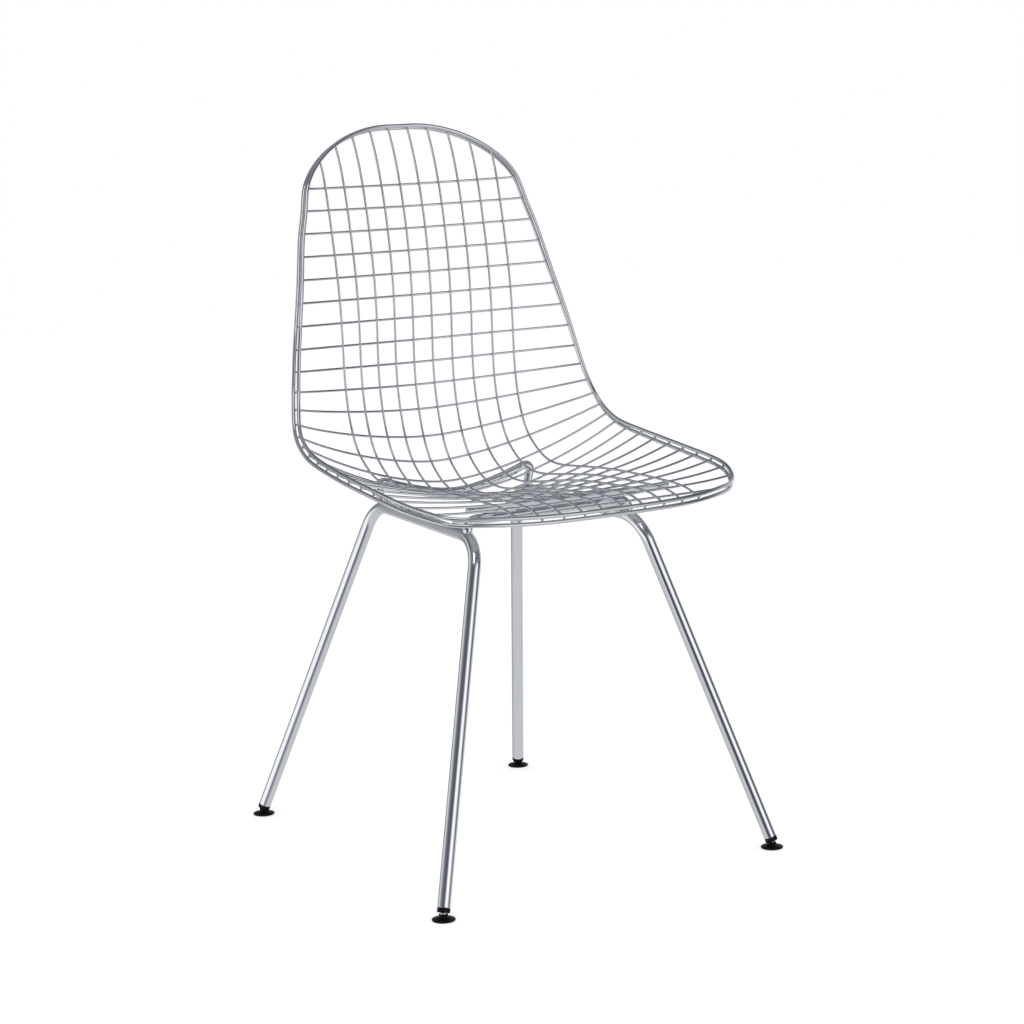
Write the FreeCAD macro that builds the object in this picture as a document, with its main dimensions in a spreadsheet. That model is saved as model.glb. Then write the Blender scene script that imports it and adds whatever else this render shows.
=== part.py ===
"""Wire mesh chair: a welded wire shell on a four-legged tube base with tilting glides.

Units are millimetres.  +Z is up, the floor is z = 0, the sitter faces -Y and the
sitter's left side is +X.
"""
import FreeCAD, Part
import math
import os
from FreeCAD import Placement, Rotation, Vector

# Driving dimensions: alias, value, what it is
SIZES = [
    ("MeshPitch", 26.3, "spacing of the lengthwise wires, centre to centre"),
    ("MeshWire", 2.7, "diameter of the mesh wires"),
    ("RimWire", 4.5, "diameter of the two rim wires"),
    ("WeldGap", 0.3, "clearance left at each weld"),
    ("FrameRod", 14.5, "diameter of the leg rod"),
    ("FrameBend", 41.5, "bend radius of the leg rod, on its centre line"),
    ("FrontFootSide", 222.1, "front glide ball, out from the middle plane"),
    ("FrontFootAhead", 242.0, "front glide ball, ahead of the origin"),
    ("RearFootSide", 185.7, "rear glide ball, out from the middle plane"),
    ("RearFootBehind", 251.6, "rear glide ball, behind the origin"),
    ("FrontCornerSide", 109.0, "front corner of a side frame, out from the middle"),
    ("FrontCornerAhead", 148.2, "front corner of a side frame, ahead of the origin"),
    ("FrontCornerHeight", 390.6, "front corner of a side frame, above the floor"),
    ("RearCornerSide", 98.2, "rear corner of a side frame, out from the middle"),
    ("RearCornerBehind", 97.0, "rear corner of a side frame, behind the origin"),
    ("RearCornerHeight", 397.9, "rear corner of a side frame, above the floor"),
    ("CrossRod", 11.4, "diameter of the front cross rod"),
    ("CrossRodAhead", 127.4, "front cross rod, ahead of the origin"),
    ("CrossRodHeight", 408.7, "front cross rod's straight run, above the floor"),
    ("CradleRod", 10.3, "diameter of the rear cradle rod"),
    ("CradleBehind", 74.2, "rear cradle rod, behind the origin"),
    ("CradleBend", 6.0, "bend radius of that rod's ends"),
    ("SupportRod", 6.7, "diameter of the front support rod"),
    ("SupportAhead", 170.4, "front support rod, ahead of the origin"),
    ("SupportReach", 134.4, "front support rod, half its length"),
    ("StrapWidth", 14.0, "width of a strap under the front support rod"),
    ("StrapThickness", 3.0, "thickness of such a strap"),
    ("StrapSide", 80.7, "middle of a strap, out from the middle plane"),
    ("BallDiameter", 8.0, "steel ball of a glide"),
    ("BallHeight", 8.0, "centre of the ball above the floor"),
    ("BallGap", 0.1, "least gap between the ball and its two seats"),
    ("DiscDiameter", 26.0, "disc of a glide foot"),
    ("NeckDiameter", 9.2, "neck of a glide foot"),
    ("HeadDiameter", 10.24, "top of that foot, inside the collar"),
    ("CollarStart", 0.4, "collar's lower face above the ball's centre, along the leg"),
    ("CollarLength", 5.1, "part of a glide plug that shows below the rod"),
    ("StemDiameter", 6.0, "stem of a glide plug, inside the rod"),
    ("StemLength", 14.0, "length of that stem"),
]

# The shell's net.  A row is one cross wire, 1 at the top and 25 at the front.
# Middle of the shell: row, y, z
MIDDLE = [
    (-1.6, 188, 834.2), (1, 164.4, 766.5), (3, 152.8, 714.8), (5, 146.2, 662.1),
    (7, 144.3, 608.5), (9, 144.3, 554.5), (11, 137.1, 498.7), (12, 128, 466.6),
    (13, 113, 438.2), (14, 89.2, 417), (15, 61.3, 406.2), (16, 26.7, 404.3),
    (17, -9.5, 409.1), (19, -74.7, 421.7), (21, -132.6, 428.9), (23, -188.4, 432.6),
    (25, -241.1, 432.6), (25.8, -262.3, 429.6),
]
# Edge of the shell: row, x, y, z
EDGE = [
    (-1.6, 137.5, 174.5, 835.3), (1, 140.4, 151.3, 768.1), (3, 157.4, 137.8, 716.9),
    (5, 168, 125.9, 664.7), (7, 179.2, 112.5, 612.6), (9, 191.2, 99.6, 561.8),
    (11, 202.1, 90.8, 519.9), (12, 206, 83.5, 503.9), (13, 208.9, 74.2, 490.9),
    (14, 210.7, 61.8, 481.1), (15, 212.2, 44.8, 472.8), (16, 213.8, 22.5, 467.2),
    (17, 215.4, -2.8, 463), (19, 217.7, -57.1, 455.3), (21, 218, -112.4, 448.5),
    (23, 214.6, -168.7, 441.8), (24, 204.2, -196.1, 437.7), (25, 183.5, -223.6, 433),
    (25.8, 175.8, -245.3, 429.4),
]
# How flat the shell is in the middle: row, exponent for y, exponent for z
HOLLOW = [
    (-1.6, 1.4, 1.4), (3, 1.35, 1.4), (7, 1.65, 1.5), (11, 1.95, 1.75),
    (13, 1.7, 1.65), (15, 1.3, 1.65), (17, 2.4, 1.5), (21, 2.8, 1.6), (25.8, 3.0, 2.0),
]
ROWS = 25
COLUMNS = 10
TOP_ROW = MIDDLE[0][0]
FRONT_ROW = MIDDLE[-1][0]
# Rows at which a lengthwise wire's bend gets points of its own
BEND_ROWS = (11.5, 12.5, 13.5, 14.5, 15.5)
# Round bars are drawn many-sided and bent in short steps, to keep the net light
WIRE_SIDES = 6
RIM_SIDES = 8
ROD_SIDES = 12
FRAME_SIDES = 16
BEND_STEP = math.radians(15)
# Room round a glide foot's head in its pocket, and its top below the ball's centre
HEAD_GAP = 0.6
HEAD_DROP = 0.9
SIDES = (("left", 1), ("right", -1))

doc = FreeCAD.newDocument("WireChair")
sheet = doc.addObject("Spreadsheet::Sheet", "Sizes")
for number, (alias, value, note) in enumerate(SIZES, start=1):
    sheet.set("A%d" % number, note)
    sheet.set("B%d" % number, str(value))
    sheet.setAlias("B%d" % number, alias)
doc.recompute()


def size(alias):
    """The value of a driving dimension."""
    return float(sheet.get(alias))


def bind(item, sizes):
    """Tie properties of an object to cells of the sheet."""
    for name, expression in sizes.items():
        item.setExpression(name, expression)
    return item


def row_curve(points):
    """A curve through 3-D points whose parameter is the row number."""
    curve = Part.BSplineCurve()
    curve.interpolate(Points=[Vector(*point[1:]) for point in points],
                      Parameters=[point[0] for point in points])
    return curve


middle_curve = row_curve([(row, 0, y, z) for row, y, z in MIDDLE])
edge_curve = row_curve(EDGE)
hollow_curve = row_curve([(row, 0, y, z) for row, y, z in HOLLOW])


def shell_point(row, x):
    """Point of the shell's middle surface: y and z go from the middle line to the
    edge as a power of the share of the half width."""
    middle = middle_curve.value(row)
    edge = edge_curve.value(row)
    power = hollow_curve.value(row)
    share = abs(x) / edge.x
    return Vector(x,
                  middle.y + (edge.y - middle.y) * share ** power.y,
                  middle.z + (edge.z - middle.z) * share ** power.z)


def shell_offset(row, x, offset):
    """Point at a distance from the middle surface, positive towards the sitter."""
    step_row, step_x = 0.02, 0.2
    low, high = max(row - step_row, TOP_ROW), min(row + step_row, FRONT_ROW)
    along = shell_point(high, x) - shell_point(low, x)
    across = shell_point(row, x + step_x) - shell_point(row, x - step_x)
    normal = along.cross(across)
    normal.normalize()
    return shell_point(row, x) + normal * offset


def half_width(row):
    """Half width of the shell at a row."""
    return edge_curve.value(row).x


def top_row(x):
    """Row at which the top rim passes x, on a flat-topped arch."""
    return TOP_ROW + (1 - TOP_ROW) * (abs(x) / half_width(1)) ** 3.2


def front_row(x):
    """Row at which the front rim passes x, on a flatter arch."""
    return FRONT_ROW - (FRONT_ROW - ROWS) * (abs(x) / half_width(ROWS)) ** 4


def runs(points, least=0.2):
    """Straight runs through the points, without those that hardly stand out
    from the line between their neighbours."""
    kept = list(points)
    while len(kept) > 2:
        heights = [here.distanceToLine(before, after - before)
                   for before, here, after in zip(kept, kept[1:], kept[2:])]
        lowest = min(heights)
        if lowest >= least:
            break
        del kept[heights.index(lowest) + 1]
    return Part.makePolygon(kept)


def bent_path(points, radius):
    """Straight runs whose corners are rounded by one bend radius, in short steps."""
    path = [points[0]]
    for before, corner, after in zip(points, points[1:], points[2:]):
        back = (before - corner).normalize()
        ahead = (after - corner).normalize()
        half = back.getAngle(ahead) / 2
        turn = math.pi - 2 * half
        if turn < BEND_STEP:
            path.append(corner)
            continue
        reach = radius / math.tan(half)
        crown = corner + (back + ahead).normalize() * (radius / math.sin(half) - radius)
        arc = Part.Arc(corner + back * reach, crown, corner + ahead * reach)
        path += arc.toShape().discretize(Number=math.ceil(turn / BEND_STEP) + 1)
    path.append(points[-1])
    return Part.makePolygon(path)


def bar(label, path_shape, sides, radius):
    """A many-sided bar along a path, its radius tied to the sheet."""
    path = doc.addObject("Part::Feature", label + "_path")
    path.Shape = path_shape
    first, second = [vertex.Point for vertex in path_shape.OrderedVertexes[:2]]
    profile = doc.addObject("Part::RegularPolygon", label + "_profile")
    profile.Polygon = sides
    bind(profile, {"Circumradius": radius})
    profile.Placement = Placement(first, Rotation(Vector(0, 0, 1), second - first))
    solid = doc.addObject("Part::Sweep", label)
    solid.Sections = [profile]
    solid.Spine = (path, [])
    solid.Solid = True
    solid.Frenet = False
    solid.Transition = "Right corner"
    solid.Label = label
    return solid


def boolean(kind, label, base, tool):
    """Cut, fuse or intersect two objects."""
    result = doc.addObject("Part::" + kind, label)
    result.Base = base
    result.Tool = tool
    result.Label = label
    return result


def turned(name, sides, outline):
    """A many-sided turned form about +Z, from the radius at each height."""
    rings = []
    for radius, height in outline:
        ring = [Vector(radius, 0, height)]
        for step in range(1, sides):
            turn = Rotation(Vector(0, 0, 1), 360 * step / sides)
            ring.append(turn.multVec(ring[0]))
        rings.append(ring + ring[:1])
    faces = [Part.Face(Part.makePolygon(rings[0])), Part.Face(Part.makePolygon(rings[-1]))]
    for lower, upper in zip(rings, rings[1:]):
        for side in range(sides):
            corners = [lower[side], lower[side + 1], upper[side + 1], upper[side]]
            faces.append(Part.Face(Part.makePolygon(corners + corners[:1])))
    form = doc.addObject("Part::Feature", name)
    form.Shape = Part.Solid(Part.Shell(faces))
    return form


def weld_offset():
    """Distance of a mesh wire's centre line from the middle surface."""
    return (size("MeshWire") + size("WeldGap")) / 2


def columns():
    """Places of the lengthwise wires across the shell."""
    return [(number - (COLUMNS - 1) / 2) * size("MeshPitch") for number in range(COLUMNS)]


def long_wires():
    """The lengthwise wires lie on the sitter's side and end between the rims."""
    rows = sorted(list(range(1, ROWS + 1)) + list(BEND_ROWS))
    wires = []
    for number, x in enumerate(columns(), start=1):
        points = [shell_offset(top_row(x), x, 0),
                  shell_offset((1 + top_row(x)) / 2, x, weld_offset())]
        points += [shell_offset(row, x, weld_offset()) for row in rows]
        points.append(shell_offset(front_row(x), x, 0))
        wires.append(bar("long_wire_%02d" % number, runs(points), WIRE_SIDES,
                         "Sizes.MeshWire / 2"))
    return wires


def cross_wires():
    """The cross wires lie on the outer side and end between the rims."""
    wires = []
    for row in range(1, ROWS + 1):
        edge = half_width(row)
        between = (columns()[-1] + edge) / 2
        places = [-between] + columns() + [between]
        points = [shell_offset(row, x, -weld_offset()) for x in places]
        points.insert(0, shell_offset(row, -edge, 0))
        points.append(shell_offset(row, edge, 0))
        wires.append(bar("cross_wire_%02d" % row, runs(points), WIRE_SIDES,
                         "Sizes.MeshWire / 2"))
    return wires


def rim(label, side):
    """One rim wire: half of it follows the edge of the shell and the other half
    mirrors it.  The wires' ends lie between the two rims."""
    offset = side * (size("RimWire") + size("MeshWire") + size("WeldGap")) / 2
    top = [half_width(1) * share for share in (0.15, 0.4, 0.62, 0.8, 0.93)]
    front = [half_width(ROWS) * share for share in (0.9, 0.66, 0.4, 0.15)]
    points = [shell_offset(top_row(x), x, offset) for x in top]
    points += [shell_offset(row, half_width(row), offset) for row in range(1, ROWS + 1)]
    points += [shell_offset(front_row(x), x, offset) for x in front]
    points.insert(0, Vector(0, points[0].y, points[0].z))
    points.append(Vector(0, points[-1].y, points[-1].z))
    half = bar(label + "_half", runs(points), RIM_SIDES, "Sizes.RimWire / 2")
    other = doc.addObject("Part::Mirroring", label + "_other")
    other.Source = half
    other.Normal = Vector(1, 0, 0)
    return boolean("Fuse", label, half, other)


def foot_place(end, side):
    """Centre of a glide's ball."""
    if end == "front":
        return Vector(side * size("FrontFootSide"), -size("FrontFootAhead"), size("BallHeight"))
    return Vector(side * size("RearFootSide"), size("RearFootBehind"), size("BallHeight"))


def corner_place(end, side):
    """Corner of a side frame, where its straight runs would meet."""
    if end == "front":
        return Vector(side * size("FrontCornerSide"), -size("FrontCornerAhead"),
                      size("FrontCornerHeight"))
    return Vector(side * size("RearCornerSide"), size("RearCornerBehind"),
                  size("RearCornerHeight"))


def leg_turn(end, side):
    """Rotation that brings +Z to the direction up a leg."""
    return Rotation(Vector(0, 0, 1), corner_place(end, side) - foot_place(end, side))


def leg_end(end, side):
    """Middle of a leg's lower end face."""
    above = Vector(0, 0, size("CollarStart") + size("CollarLength"))
    return foot_place(end, side) + leg_turn(end, side).multVec(above)


def side_frame(name, side):
    """Front leg, top run and rear leg bent from one rod, bored for the glides."""
    label = "side_frame_" + name
    path = bent_path([leg_end("front", side), corner_place("front", side),
                      corner_place("rear", side), leg_end("rear", side)], size("FrameBend"))
    frame = bar(label + "_rod", path, FRAME_SIDES, "Sizes.FrameRod / 2")
    holes = []
    for end in ("front", "rear"):
        hole = doc.addObject("Part::Prism", "stem_hole_%s_%s" % (end, name))
        hole.Polygon = ROD_SIDES
        bind(hole, {"Circumradius": "Sizes.StemDiameter / 2 + Sizes.BallGap",
                    "Height": "2 * Sizes.StemLength + Sizes.WeldGap"})
        below = leg_turn(end, side).multVec(Vector(0, 0, -size("StemLength")))
        hole.Placement = Placement(leg_end(end, side) + below, leg_turn(end, side))
        holes.append(hole)
    both = doc.addObject("Part::MultiFuse", "stem_holes_" + name)
    both.Shapes = holes
    return boolean("Cut", label, frame, both)


def run_point(side, y):
    """Point on a side frame's straight top run, by its y."""
    front, rear = corner_place("front", side), corner_place("rear", side)
    return front + (rear - front) * ((y - front.y) / (rear.y - front.y))


def frame_seat(name, side):
    """The top run of a side frame with the weld clearance round it."""
    front, rear = corner_place("front", side), corner_place("rear", side)
    seat = doc.addObject("Part::Cylinder", "frame_seat_" + name)
    bind(seat, {"Radius": "Sizes.FrameRod / 2 + Sizes.WeldGap"})
    seat.Height = (rear - front).Length
    seat.Placement = Placement(front, Rotation(Vector(0, 0, 1), rear - front))
    return seat


def front_cross_rod(seats):
    """A rod across the front that bends down onto both side frames."""
    y = -size("CrossRodAhead")
    ends = [run_point(side, y) for side in (-1, 1)]
    knees = [Vector(end.x, y, size("CrossRodHeight")) for end in ends]
    path = bent_path([ends[0], knees[0], knees[1], ends[1]], size("CrossRod"))
    rod = bar("front_cross_rod_blank", path, ROD_SIDES, "Sizes.CrossRod / 2")
    return boolean("Cut", "front_cross_rod", rod, seats)


def row_at(x, y):
    """Row at which the seat passes y, for a given x."""
    low, high = 13.0, FRONT_ROW
    for step in range(30):
        row = (low + high) / 2
        if shell_point(row, x).y > y:
            low = row
        else:
            high = row
    return row


def rear_cradle_rod(seats):
    """A rod under the lengthwise wires, between two cross wires, that follows the
    hollow of the shell and bends down onto both side frames."""
    y = size("CradleBehind")
    below = (size("CradleRod") + size("WeldGap")) / 2
    half = []
    for x in columns():
        if 0 < x < run_point(1, y).x:
            half.append(shell_offset(row_at(x, y), x, -below))
    foot = run_point(1, half[-1].y)
    half.append(Vector(foot.x + 1.4 * size("CradleBend"), half[-1].y, half[-1].z + 3))
    half.append(foot)
    other = [Vector(-point.x, point.y, point.z) for point in reversed(half)]
    rod = bar("rear_cradle_rod_blank", bent_path(other + half, size("CradleBend")), ROD_SIDES,
              "Sizes.CradleRod / 2")
    return boolean("Cut", "rear_cradle_rod", rod, seats)


def front_support_rod():
    """A straight rod under the lengthwise wires at the front of the seat."""
    y = -size("SupportAhead")
    reach = size("SupportReach")
    path = Part.makePolygon([Vector(-reach, y, support_height()),
                             Vector(reach, y, support_height())])
    return bar("front_support_rod", path, ROD_SIDES, "Sizes.SupportRod / 2")


def support_height():
    """Height of the front support rod's centre line, just under the middle wires."""
    middle = shell_point(row_at(0, -size("SupportAhead")), 0).z
    return middle - size("SupportRod") / 2 - size("WeldGap") / 2


def support_strap(name, side):
    """A flat strap that lies on the front cross rod and carries the support rod."""
    gap = size("WeldGap") / 2
    rear = Vector(side * size("StrapSide"), -size("CrossRodAhead"),
                  size("CrossRodHeight") + size("CrossRod") / 2 + gap)
    front = Vector(side * size("StrapSide"), -size("SupportAhead"),
                   support_height() - size("SupportRod") / 2 - size("StrapThickness") - gap)
    turn = Rotation(Vector(0, -1, 0), front - rear)
    overhang = size("StrapWidth") / 3
    strap = doc.addObject("Part::Box", "support_strap_" + name)
    strap.Label = "support_strap_" + name
    bind(strap, {"Length": "Sizes.StrapWidth", "Height": "Sizes.StrapThickness"})
    strap.Width = (front - rear).Length + 2 * overhang
    corner = Vector(-size("StrapWidth") / 2, overhang - strap.Width.Value, 0)
    strap.Placement = Placement(rear + turn.multVec(corner), turn)
    return strap


def glide_plug(name, end, side):
    """Collar and stem of a glide, with a pocket for the head and a seat for the
    ball.  It is made about the ball's centre with the leg along +Z."""
    start, top = size("CollarStart"), size("CollarStart") + size("CollarLength")
    stem = size("StemDiameter") / 2
    head = size("HeadDiameter") / 2 + HEAD_GAP
    ball = size("BallDiameter") / 2 + size("BallGap")
    collar = turned("collar_" + name, FRAME_SIDES,
                    [(size("FrameRod") / 2, start), (size("FrameRod") / 2, top)])
    pin = turned("stem_" + name, ROD_SIDES,
                 [(stem, (start + top) / 2), (stem, top + size("StemLength"))])
    pocket = turned("head_pocket_" + name, ROD_SIDES, [(head, -head), (head, 0.65 * ball)])
    seat = turned("ball_seat_" + name, ROD_SIDES, [(0.8 * ball, 0), (0.8 * ball, ball)])
    plug = boolean("Cut", "glide_plug_" + name,
                   boolean("Fuse", "plug_blank_" + name, collar, pin),
                   boolean("Fuse", "plug_pocket_" + name, pocket, seat))
    plug.Placement = Placement(foot_place(end, side), leg_turn(end, side))
    return plug


def glide_ball(name, end, side):
    """The steel ball on which a glide tilts, as ring after ring of a globe."""
    radius = size("BallDiameter") / 2
    angles = [math.radians(angle) for angle in (-70, -42, -14, 14, 42, 70)]
    ball = turned("glide_ball_" + name, ROD_SIDES,
                  [(radius * math.cos(angle), radius * math.sin(angle)) for angle in angles])
    ball.Placement = Placement(foot_place(end, side), Rotation())
    return ball


def glide_foot(name, end, side):
    """Disc, neck and cupped head of a glide, upright on the floor."""
    disc, neck = size("DiscDiameter") / 2, size("NeckDiameter") / 2
    head, ball = size("HeadDiameter") / 2, size("BallDiameter") / 2
    middle = size("BallHeight")
    top = middle - HEAD_DROP
    body = turned("foot_body_" + name, FRAME_SIDES,
                  [(disc - 0.8, 0), (disc, 0.8), (disc, 1.8), (neck + 3.4, 3.2),
                   (neck, 3.8), (neck, middle - 2.4), (head, top)])
    cup = turned("foot_cup_" + name, ROD_SIDES,
                 [(0.57 * ball, middle - ball - size("BallGap")), (0.93 * ball, middle - 2.4),
                  (1.04 * ball, top), (1.04 * ball, middle)])
    foot = boolean("Cut", "glide_foot_" + name, body, cup)
    place = foot_place(end, side)
    foot.Placement = Placement(Vector(place.x, place.y, 0), Rotation())
    return foot


def build():
    """All sub-parts of the chair."""
    parts = long_wires() + cross_wires()
    parts += [rim("rim_inner", 1), rim("rim_outer", -1)]
    parts += [side_frame(name, side) for name, side in SIDES]
    seats = doc.addObject("Part::MultiFuse", "frame_seats")
    seats.Shapes = [frame_seat(name, side) for name, side in SIDES]
    parts += [front_cross_rod(seats), rear_cradle_rod(seats), front_support_rod()]
    parts += [support_strap(name, side) for name, side in SIDES]
    for end in ("front", "rear"):
        for name, side in SIDES:
            label = end + "_" + name
            parts.append(glide_plug(label, end, side))
            parts.append(glide_ball(label, end, side))
            parts.append(glide_foot(label, end, side))
    return parts


def check(parts):
    """Stop if an object failed or a solid is missing or invalid."""
    for item in doc.Objects:
        if "Invalid" in item.State or "Error" in item.State:
            raise RuntimeError("%s failed" % item.Label)
    for part in parts:
        if part.Shape.isNull() or not part.Shape.isValid() or len(part.Shape.Solids) != 1:
            raise RuntimeError("%s is not one valid solid" % part.Label)


parts = build()
doc.recompute()
check(parts)
os.makedirs("parts", exist_ok=True)
for part in parts:
    part.Shape.exportStep("parts/%s.step" % part.Label)
print("%d parts written" % len(parts))
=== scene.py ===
import math

import bpy
import numpy as np
from mathutils import Matrix


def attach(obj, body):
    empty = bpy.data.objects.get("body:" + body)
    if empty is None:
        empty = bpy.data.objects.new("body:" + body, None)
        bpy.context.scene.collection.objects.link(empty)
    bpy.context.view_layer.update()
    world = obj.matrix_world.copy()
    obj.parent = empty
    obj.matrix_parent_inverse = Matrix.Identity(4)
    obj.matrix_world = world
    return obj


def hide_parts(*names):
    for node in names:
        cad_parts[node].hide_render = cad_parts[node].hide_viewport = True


# Looks of a wire mesh chair: round chrome wires and rods with their welds, on black
# tilting glides.  Everything is in metres in the frame's own axes: +Z up, the sitter
# faces -Y, +X is the sitter's left.

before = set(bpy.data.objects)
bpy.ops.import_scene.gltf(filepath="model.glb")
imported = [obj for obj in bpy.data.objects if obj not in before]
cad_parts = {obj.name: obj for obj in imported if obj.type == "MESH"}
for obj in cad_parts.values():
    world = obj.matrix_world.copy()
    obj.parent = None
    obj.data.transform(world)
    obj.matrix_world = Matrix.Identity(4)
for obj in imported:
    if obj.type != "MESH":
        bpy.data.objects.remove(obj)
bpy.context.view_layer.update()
MM = 0.001

# Sizes
MESH_PITCH = 26.3 * MM
MESH_WIRE = 2.7 * MM
RIM_WIRE = 4.5 * MM
WELD_GAP = 0.3 * MM
FRAME_ROD = 14.5 * MM
FRAME_BEND = 41.5 * MM
FOOT = {"front": np.array([222.1, -242, 8]) * MM,
        "rear": np.array([185.7, 251.6, 8]) * MM}
CORNER = {"front": np.array([109, -148.2, 390.6]) * MM,
          "rear": np.array([98.2, 97, 397.9]) * MM}
CROSS_ROD = 11.4 * MM
CROSS_ROD_AHEAD = 127.4 * MM
CROSS_ROD_HEIGHT = 408.7 * MM
CRADLE_ROD = 10.3 * MM
CRADLE_BEHIND = 74.2 * MM
CRADLE_BEND = 6 * MM
SUPPORT_ROD = 6.7 * MM
SUPPORT_AHEAD = 170.4 * MM
SUPPORT_REACH = 134.4 * MM
STRAP_WIDTH = 14 * MM
STRAP_THICKNESS = 3 * MM
STRAP_SIDE = 80.7 * MM
BALL = 8 * MM
BALL_HEIGHT = 8 * MM
DISC = 26 * MM
NECK = 9.2 * MM
HEAD = 10.24 * MM
COLLAR_START = 0.4 * MM
COLLAR_LENGTH = 5.1 * MM
STEM = 6 * MM
STEM_LENGTH = 14 * MM
# Room round a glide foot's head in its pocket, and its top below the ball's centre
HEAD_GAP = 0.6 * MM
HEAD_DROP = 0.9 * MM
# How deep a rod's end sinks into the side frame that it is welded to
ROD_SINK = 0.6 * MM

# The shell's net, as in the part: a row is one cross wire, 1 at the top, 25 at the front
ROWS = 25
COLUMNS = (np.arange(10) - 4.5) * MESH_PITCH
# Middle of the shell: row, y, z
MIDDLE = np.array([
    (-1.6, 188, 834.2), (1, 164.4, 766.5), (3, 152.8, 714.8), (5, 146.2, 662.1),
    (7, 144.3, 608.5), (9, 144.3, 554.5), (11, 137.1, 498.7), (12, 128, 466.6),
    (13, 113, 438.2), (14, 89.2, 417), (15, 61.3, 406.2), (16, 26.7, 404.3),
    (17, -9.5, 409.1), (19, -74.7, 421.7), (21, -132.6, 428.9), (23, -188.4, 432.6),
    (25, -241.1, 431), (25.8, -261.2, 424)])
# Edge of the shell: row, x, y, z
EDGE = np.array([
    (-1.6, 140.9, 177.5, 831.4), (1, 144.6, 153.8, 768.1), (3, 159.1, 140.8, 716.9),
    (5, 170.7, 127, 664.7), (7, 182.9, 113.9, 612.6), (9, 193.6, 102.6, 561.8),
    (11, 202.1, 90.8, 519.9), (12, 206, 83.5, 503.9), (13, 208.9, 74.2, 490.9),
    (14, 210.7, 61.8, 481.1), (15, 212.2, 44.8, 472.8), (16, 213.8, 22.5, 467.2),
    (17, 215.4, -2.8, 463), (19, 217.7, -57.1, 455.3), (21, 218, -112.4, 448.5),
    (23, 214.6, -168.7, 440.6), (24, 204, -196.1, 434.8), (25, 183.2, -223.4, 428.3),
    (25.8, 175.8, -244.6, 424.8)])
# How flat the shell is in the middle: row, exponent for y, exponent for z
HOLLOW = np.array([
    (-1.6, 1.4, 1.4), (3, 1.35, 1.4), (7, 1.65, 1.5), (11, 1.95, 1.75),
    (13, 1.7, 1.65), (15, 1.3, 1.65), (17, 2.4, 1.5), (21, 2.8, 1.6), (25.8, 3.0, 2.0)])
TOP_ROW = MIDDLE[0, 0]
FRONT_ROW = MIDDLE[-1, 0]
# Rows at which a lengthwise wire's bend gets points of its own
BEND_ROWS = np.arange(11.5, 16)
# Steps for slopes read off the surface: rows, and metres across
ROW_STEP = 0.02
ACROSS_STEP = 0.2 * MM


# Curves and the shell

def end_slope(knots, values):
    """Slope at the first knot of the parabola through the first three values."""
    first, second = knots[1] - knots[0], knots[2] - knots[1]
    rise = (values[1] - values[0]) / first
    return rise + first * (rise - (values[2] - values[1]) / second) / (first + second)


def smooth_curve(knots, values):
    """Cubic pieces through the values that meet with equal slope and equal bend.
    The slopes solve one row of equations per inner knot."""
    knots, values = np.asarray(knots, float), np.asarray(values, float)
    step = np.diff(knots)
    rise = np.diff(values, axis=0) / step[:, None]
    count = len(knots)
    matrix = np.zeros((count, count))
    inner = np.arange(1, count - 1)
    matrix[inner, inner - 1] = 1 / step[:-1]
    matrix[inner, inner] = 2 / step[:-1] + 2 / step[1:]
    matrix[inner, inner + 1] = 1 / step[1:]
    matrix[0, 0] = matrix[-1, -1] = 1
    right = np.zeros(values.shape)
    right[inner] = 3 * (rise[:-1] / step[:-1, None] + rise[1:] / step[1:, None])
    right[0] = end_slope(knots, values)
    right[-1] = end_slope(knots[::-1], values[::-1])
    slopes = np.linalg.solve(matrix, right)

    def at(place):
        """Hermite blend of the two values and slopes round each place."""
        place = np.asarray(place, float)
        piece = np.clip(np.searchsorted(knots, place) - 1, 0, count - 2)
        width = step[piece][..., None]
        share = ((place - knots[piece]) / step[piece])[..., None]
        back = 1 - share
        return (values[piece] * back**2 * (1 + 2 * share)
                + values[piece + 1] * share**2 * (1 + 2 * back)
                + width * share * back * (slopes[piece] * back - slopes[piece + 1] * share))
    return at


middle_line = smooth_curve(MIDDLE[:, 0], MIDDLE[:, 1:] * MM)
edge_line = smooth_curve(EDGE[:, 0], EDGE[:, 1:] * MM)
hollow = smooth_curve(HOLLOW[:, 0], HOLLOW[:, 1:])


def half_width(row):
    """Half width of the shell at a row."""
    return edge_line(row)[..., 0]


def shell_point(row, x):
    """Middle surface: y and z run from the middle line to the edge as a power of the
    share of the half width."""
    row, x = np.broadcast_arrays(np.asarray(row, float), np.asarray(x, float))
    middle, edge, power = middle_line(row), edge_line(row), hollow(row)
    share = (np.abs(x) / edge[..., 0])[..., None]
    side = middle + (edge[..., 1:] - middle) * share**power
    return np.concatenate([x[..., None], side], axis=-1)


def unit(vectors):
    """Each vector divided by its length."""
    return vectors / np.linalg.norm(vectors, axis=-1, keepdims=True)


def across_step(row, x):
    """A small step across the middle surface, towards the sitter's left."""
    return shell_point(row, x + ACROSS_STEP) - shell_point(row, x - ACROSS_STEP)


def shell_normal(row, x):
    """Unit normal of the middle surface, towards the sitter, from small steps."""
    row, x = np.broadcast_arrays(np.asarray(row, float), np.asarray(x, float))
    low, high = np.maximum(row - ROW_STEP, TOP_ROW), np.minimum(row + ROW_STEP, FRONT_ROW)
    along = shell_point(high, x) - shell_point(low, x)
    return unit(np.cross(along, across_step(row, x)))


def shell_offset(row, x, offset):
    """Points at a distance from the middle surface, positive towards the sitter."""
    return shell_point(row, x) + shell_normal(row, x) * np.asarray(offset)[..., None]


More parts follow.
